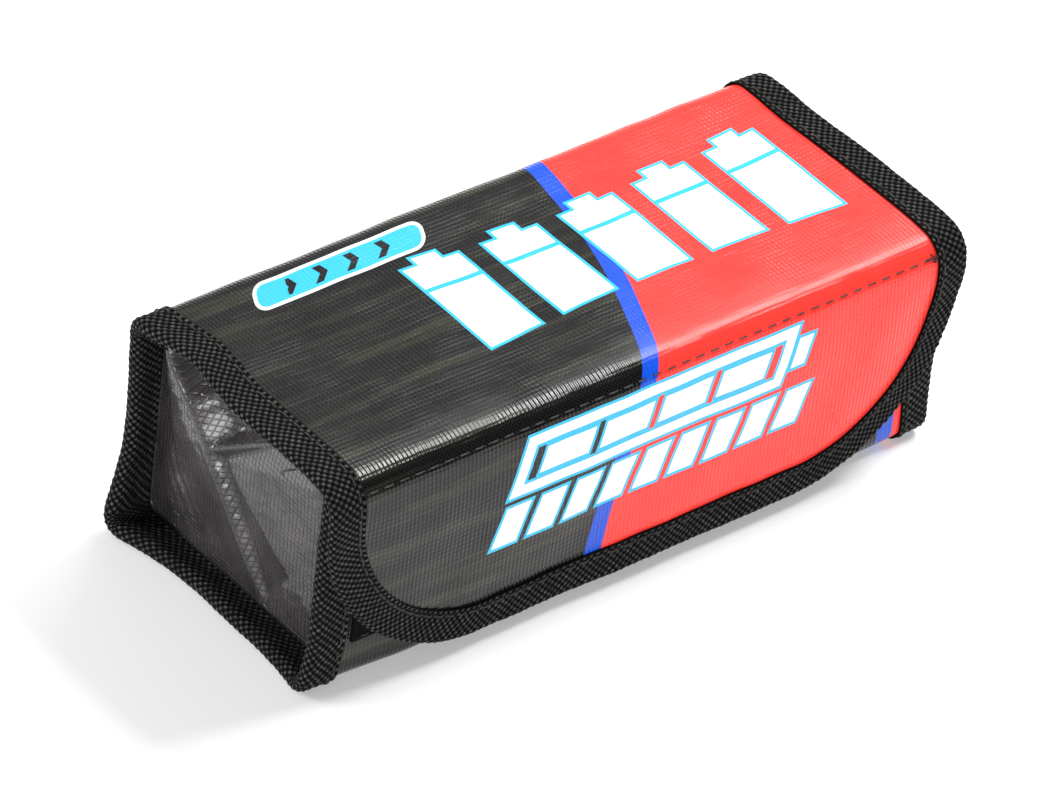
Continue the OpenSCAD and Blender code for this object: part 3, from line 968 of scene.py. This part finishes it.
even = stations(0, flap_walk[-1])
x, s, out_x, out_s = (np.interp(even, flap_walk, part) for part in (*flap_path.T, *flap_out.T))
flap_tape = tape("flap_tape", x, s, -out_x, -out_s, even + LID_MIDDLE)
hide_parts("flap_binding")
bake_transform(flap_tape)

# ---------------------------------------------------------------- stitching
# One row of black polyester thread holds each tape, and one runs along the front fold. Every
# stitch dips into its holes at both ends.

THREAD_R = 0.24 * MM
THREAD_SIDES = 6
NUDGE = 0.1 * MM
STITCH_LONG = 3.2 * MM
STITCH_PITCH = 4.2 * MM
SEW_IN = 1.5 * MM


def sewing_thread():
    """Black thread of twisted strands with a dull shine."""
    r = Recipe("sewing_thread")
    vector, (along, over, _) = r.place("weave")
    twist = r.wave(r.add(along, r.times(over, 2.0)), 0.55)
    fuzz = r.noise(vector, 6.0, 3.0)
    base = r.mix(r.rise(twist, -0.6, 0.9), (0.004, 0.004, 0.004, 1), (0.022, 0.021, 0.020, 1))
    height = r.add(twist, fuzz)
    return r.finish(Base_Color=base, Roughness=0.5, Normal=r.bump(height, 0.08 * MM, 0.9))


thread_finish = sewing_thread()


def thread_tubes(name, centres, normals, sideways, radius):
    """Joins many short closed tubes, one for each row of centres.

    Around every centre stands a ring of six points in the plane of its two directions.
    """
    count, rings = centres.shape[:2]
    ring = np.arange(THREAD_SIDES)
    angle = ring / THREAD_SIDES * math.tau
    circle = sideways[..., None, :] * np.cos(angle)[:, None] + normals[..., None, :] * np.sin(angle)[:, None]
    points = centres[..., None, :] + radius[..., None, None] * circle
    k, j, i = np.meshgrid(np.arange(count), np.arange(rings - 1), ring, indexing="ij")
    here = (k * rings + j) * THREAD_SIDES
    beyond = here + THREAD_SIDES
    after = (i + 1) % THREAD_SIDES
    walls = np.stack([here + i, here + after, beyond + after, beyond + i], -1)
    base = np.arange(count)[:, None] * rings * THREAD_SIDES
    caps = [base + ring[None, ::-1], base + (rings - 1) * THREAD_SIDES + ring[None, :]]
    thing = piece(name, points, [walls.reshape(-1, 4), *caps], thread_finish)
    gone = np.cumsum(np.linalg.norm(np.diff(centres, axis=1, prepend=centres[:, :1]), axis=2), axis=1)
    over = np.broadcast_to(angle * radius[..., None], points.shape[:3])
    set_places(thing, "weave", np.stack(np.broadcast_arrays(gone[..., None], over, 0.0), -1))
    return thing


def stitches(name, x, s, way_x, way_s, lift, stands_out=1.0):
    """Stitches centred at (x, s) on the strip, running along (way_x, way_s), lifted off it.

    Along its length t from -1 to 1 a stitch sinks by t to the fourth power, into its holes.
    stands_out is -1 on the inner face of the cloth.
    """
    t = np.linspace(-1, 1, 7)[None, :]
    x, s, way_x, way_s = (np.asarray(v, float)[:, None] + 0 * t for v in (x, s, way_x, way_s))
    half = STITCH_LONG / 2
    rise = lift + stands_out * (THREAD_R * 0.9 - 0.55 * MM * t**4)
    at_x, at_s = x + way_x * half * t, s + way_s * half * t
    centre = on_strip(at_x, at_s, rise)
    out = (on_strip(at_x, at_s, rise + NUDGE) - centre) / NUDGE
    aside = (on_strip(at_x - way_s * NUDGE, at_s + way_x * NUDGE, rise) - centre) / NUDGE
    return thread_tubes(name, centre, out, aside, THREAD_R * (1 - 0.3 * t**2) + 0 * x)


def row(first, last, pitch=STITCH_PITCH):
    """Centres of a row of stitches between two places."""
    count = int(abs(last - first) / pitch)
    return first + (last - first) * (np.arange(count) + 0.5) / count


ON_TAPE = TAPE_T - 0.15 * MM
for word, side in (("left", -1), ("right", 1)):
    s = row(STRIP_START + 2 * MM, BACK_FOLD_START - 2 * MM)
    x = side * (half_width(s, side) + TAPE_T - OUTER_LEG + SEW_IN)
    end_thread = stitches(f"{word}_end_thread", x, s, 0 * s, 1 + 0 * s, ON_TAPE)
    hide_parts(f"{word}_end_stitching")
    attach(end_thread, "body")

s = row(BACK_FOLD_START + 1 * MM, LID_MIDDLE - 1 * MM)
sides = np.repeat([-1, 1], len(s))
s = np.tile(s, 2)
x = sides * (half_width(s, sides) + TAPE_T - OUTER_LEG + SEW_IN)
lid_thread = stitches("lid_thread", x, s, 0 * s, 1 + 0 * s, ON_TAPE)
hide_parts("lid_stitching")
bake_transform(lid_thread)

sewn = row(0, flap_walk[-1])
x, s, out_x, out_s = (np.interp(sewn, flap_walk, part) for part in (*flap_path.T, *flap_out.T))
sew_line = OUTER_LEG - TAPE_T - SEW_IN
flap_thread = stitches("flap_thread", x - out_x * sew_line, s - out_s * sew_line, -out_s, out_x, ON_TAPE)
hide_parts("flap_stitching")
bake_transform(flap_thread)

x = row(-rim_x, rim_x)
rim_thread = stitches("front_rim_thread", x, STRIP_START + sew_line + 0 * x, 1 + 0 * x, 0 * x, ON_TAPE)
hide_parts("front_rim_stitching")
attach(rim_thread, "body")

# the seam along the fold, which the maker sews through all the layers to set the edge
FOLD_SEAM_S = LID_RUN + 0.72 * (FOLD_END - LID_RUN)
fold_reach = LID_HALF - OUTER_LEG
x = row(-fold_reach, fold_reach)
fold_thread = stitches("fold_thread", x, FOLD_SEAM_S + 0 * x, 1 + 0 * x, 0 * x, -0.05 * MM)
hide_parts("fold_stitching")
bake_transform(fold_thread)

# a knot of thread ends the fold seam, and a cut thread end sticks out under the lid's left tape
x = fold_reach + np.array([-1.2, -0.5, 0.2]) * MM
knot_ways = np.array([0.3, 1.2, 2.2])
knot = stitches("fold_knot", x, FOLD_SEAM_S + 0 * x, np.cos(knot_ways), np.sin(knot_ways), 0.2 * MM)
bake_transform(knot)

TAIL_FROM = np.array([-92.6, -22.9, 58.3]) * MM
TAIL_RUN = np.array([0.4, 4.6, -4.6])
TAIL_BOW = np.array([-1.1, 0.3, 0.5]) * MM
TAIL_POINTS = 9
share = np.linspace(0, 1, TAIL_POINTS)[:, None]
tail_path = TAIL_FROM + share * TAIL_RUN * MM + TAIL_BOW * np.sin(math.pi * share)
across_tail = np.broadcast_to([0.0, 0.707, 0.707], (1, TAIL_POINTS, 3))
beside_tail = np.broadcast_to([1.0, 0.0, 0.0], (1, TAIL_POINTS, 3))
tail_radius = np.full((1, TAIL_POINTS), THREAD_R)
tail = thread_tubes("thread_end", tail_path[None], across_tail, beside_tail, tail_radius)
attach(tail, "lid")

# ---------------------------------------------------------------- loop tape
# The soft half of the closure: a knitted band sewn across the front wall, its face a thick
# pile of fine loops that lie every way.

loop_low, loop_high = (np.array(c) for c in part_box("loop_tape"))
LOOP_BASE, LOOP_TOP = 0.6 * MM, 1.15 * MM
LOOP_STEP = 0.45 * MM
LOOP_ROUGH = 0.28 * MM


def strip_s(z):
    """Where a height on the front wall lies along the strip."""
    return STRIP_START + WALL_TOP_Z - z


def loop_pile():
    """Deep black fluff with paler fibre ends."""
    r = Recipe("loop_pile")
    vector, _ = r.place("weave")
    fluff = r.noise(vector, 1.4, 5.0, 0.75)
    fine = r.noise(vector, 5.0, 3.0, 0.7)
    base = r.mix(r.rise(fine, 0.5, 0.75), (0.003, 0.003, 0.003, 1), (0.03, 0.028, 0.026, 1))
    return r.finish(
        Base_Color=base, Roughness=0.9, Specular_IOR_Level=0.05,
        Normal=r.bump(r.add(fluff, fine), 0.35 * MM, 1.0),
    )


def closed_slab(upper, lower):
    """Points and faces of two like grids, one over the other, with walls between their rims."""
    rows, columns = upper.shape[:2]
    face = grid_faces(rows, columns)
    rim = np.concatenate([
        np.arange(columns),
        np.arange(2, rows + 1) * columns - 1,
        np.arange(rows * columns - 2, (rows - 1) * columns - 1, -1),
        np.arange(rows - 2, 0, -1) * columns,
    ])
    turn = np.roll(rim, -1)
    below = rows * columns
    walls = np.stack([rim, turn, turn + below, rim + below], 1)
    points = np.concatenate([upper.reshape(-1, 3), lower.reshape(-1, 3)])
    return points, [face[:, ::-1], face + below, walls]


def pile_band(name, half, s_from, s_to, material):
    """A flat closed band on the strip: its face is rough and falls to the cloth at its edges."""
    x = np.linspace(-half, half, int(2 * half / LOOP_STEP))[None, :]
    s = np.linspace(s_from, s_to, int((s_to - s_from) / LOOP_STEP))[:, None]
    edge = np.minimum(half - np.abs(x), np.minimum(s - s_from, s_to - s))
    fluff = LOOP_ROUGH * (waves(x, s, 31, 2.6 * MM, 5) + waves(x, s, 32, 1.1 * MM, 4)) / 2
    lift = LOOP_BASE + (LOOP_TOP - LOOP_BASE) * ramp(edge, 0, 0.8 * MM)
    lift = lift + fluff * ramp(edge, 0.2 * MM, 1 * MM)
    points, faces = closed_slab(on_strip(x, s, lift), on_strip(x, s, LOOP_BASE * 0.05))
    thing = piece(name, points, faces, material)
    flat = np.stack(np.broadcast_arrays(x, s, 0.0), -1).reshape(-1, 3)
    set_places(thing, "weave", np.concatenate([flat, flat]))
    return thing


loop_s = (strip_s(loop_high[2]), strip_s(loop_low[2]))
loop_band = pile_band("loop_band", loop_high[0], *loop_s, loop_pile())
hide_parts("loop_tape")
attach(loop_band, "body")

long_row = row(-loop_high[0] + 1 * MM, loop_high[0] - 1 * MM)
x = np.tile(long_row, 2)
s = np.repeat([loop_s[0] + SEW_IN, loop_s[1] - SEW_IN], len(long_row))
loop_thread = stitches("loop_band_thread", x, s, 1 + 0 * x, 0 * x, 1.0 * MM)
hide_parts("loop_tape_stitching")
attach(loop_thread, "body")

# ---------------------------------------------------------------- hook tape
# The stiff half, sewn inside the flap: a woven base with rows of small bent nylon hooks that
# catch in the loops.

hook_low, hook_high = (np.array(c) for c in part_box("hook_tape"))
HOOK_BASE = 0.45 * MM
HOOK_TALL = 0.6 * MM
HOOK_PITCH = 1.5 * MM
HOOK_R = 0.09 * MM
HOOK_SIDES = 5
# a hook's centre line: how far over and how high it is, from its foot to its tip
HOOK_OVER = np.array([[0.0, 0.0, 0.12, 0.34, 0.46]]) * MM
HOOK_HIGH = np.array([[0.0, 0.45, 0.85, 1.0, 0.82]]) * HOOK_TALL


def hook_nylon():
    """Black nylon, woven at the foot and slightly shiny."""
    r = Recipe("hook_nylon")
    vector, (along, over, _) = r.place("weave")
    weave = r.times(r.wave(along, 0.9), r.wave(over, 0.9))
    tone = r.rise(r.noise(vector, 0.8, 3.0), 0.3, 0.7)
    base = r.mix(tone, (0.006, 0.006, 0.006, 1), (0.02, 0.02, 0.021, 1))
    return r.finish(Base_Color=base, Roughness=0.38, Normal=r.bump(weave, 0.08 * MM, 0.9))


hook_s = tuple(FOLD_END + TOP_Z - FRONT_FOLD_R - z for z in (hook_high[2], hook_low[2]))


def hook_field():
    """The woven base with its hooks, as one closed sheet and a field of bent tubes.

    A hook stands up and bends over: its centre line is a quarter turn on a short stem. Every
    other hook bends the other way.
    """
    x = np.linspace(hook_low[0], hook_high[0], 120)[None, :]
    s = np.linspace(*hook_s, 30)[:, None]
    outer = on_strip(x, s, -CLOTH_T - 0.02 * MM)
    inner = on_strip(x, s, -CLOTH_T - HOOK_BASE)
    base_points, base_faces = closed_slab(outer, inner)
    margin = 3.2 * MM
    hook_x = np.arange(hook_low[0] + margin, hook_high[0] - margin, HOOK_PITCH)
    hook_row = np.arange(hook_s[0] + margin, hook_s[1] - margin, HOOK_PITCH)
    hx, hs = (v.ravel()[:, None] for v in np.meshgrid(hook_x, hook_row))
    way = np.where((np.arange(len(hx)) % 2)[:, None] > 0, 1.0, -1.0)
    ring = np.arange(HOOK_SIDES)
    rings = HOOK_OVER.size
    angle = (ring / HOOK_SIDES * math.tau)[None, None, :]
    px = (hx + way * HOOK_OVER)[..., None] + HOOK_R * np.cos(angle)
    ps = (hs + 0 * HOOK_OVER)[..., None] + HOOK_R * np.sin(angle)
    lift = (-CLOTH_T - HOOK_BASE + 0.05 * MM - HOOK_HIGH)[..., None] + 0 * px
    tubes = on_strip(px, ps, lift).reshape(-1, 3)
    k, j, i = np.meshgrid(np.arange(len(hx)), np.arange(rings - 1), ring, indexing="ij")
    here = (k * rings + j) * HOOK_SIDES + len(base_points)
    beyond = here + HOOK_SIDES
    after = (i + 1) % HOOK_SIDES
    walls = np.stack([here + i, beyond + i, beyond + after, here + after], -1).reshape(-1, 4)
    foot = np.arange(len(hx))[:, None] * rings * HOOK_SIDES + len(base_points)
    tips = foot + (rings - 1) * HOOK_SIDES + ring[None, :]
    roots = foot + ring[None, ::-1]
    points = np.concatenate([base_points, tubes])
    thing = piece("hook_band", points, [*base_faces, walls, tips, roots], hook_nylon())
    flat = np.stack(np.broadcast_arrays(x, s, 0.0), -1).reshape(-1, 3)
    on_hooks = np.stack([px, ps, lift], -1).reshape(-1, 3)
    set_places(thing, "weave", np.concatenate([flat, flat, on_hooks]))
    return thing


hook_band = hook_field()
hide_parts("hook_tape")
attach(hook_band, "flap")

long_row = row(hook_low[0] + 1 * MM, hook_high[0] - 1 * MM)
x = np.tile(long_row, 2)
s = np.repeat([hook_s[0] + SEW_IN, hook_s[1] - SEW_IN], len(long_row))
hook_thread = stitches(
    "hook_band_thread", x, s, 1 + 0 * x, 0 * x, -CLOTH_T - HOOK_BASE + 0.1 * MM, stands_out=-1.0,
)
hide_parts("hook_tape_stitching")
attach(hook_thread, "flap")
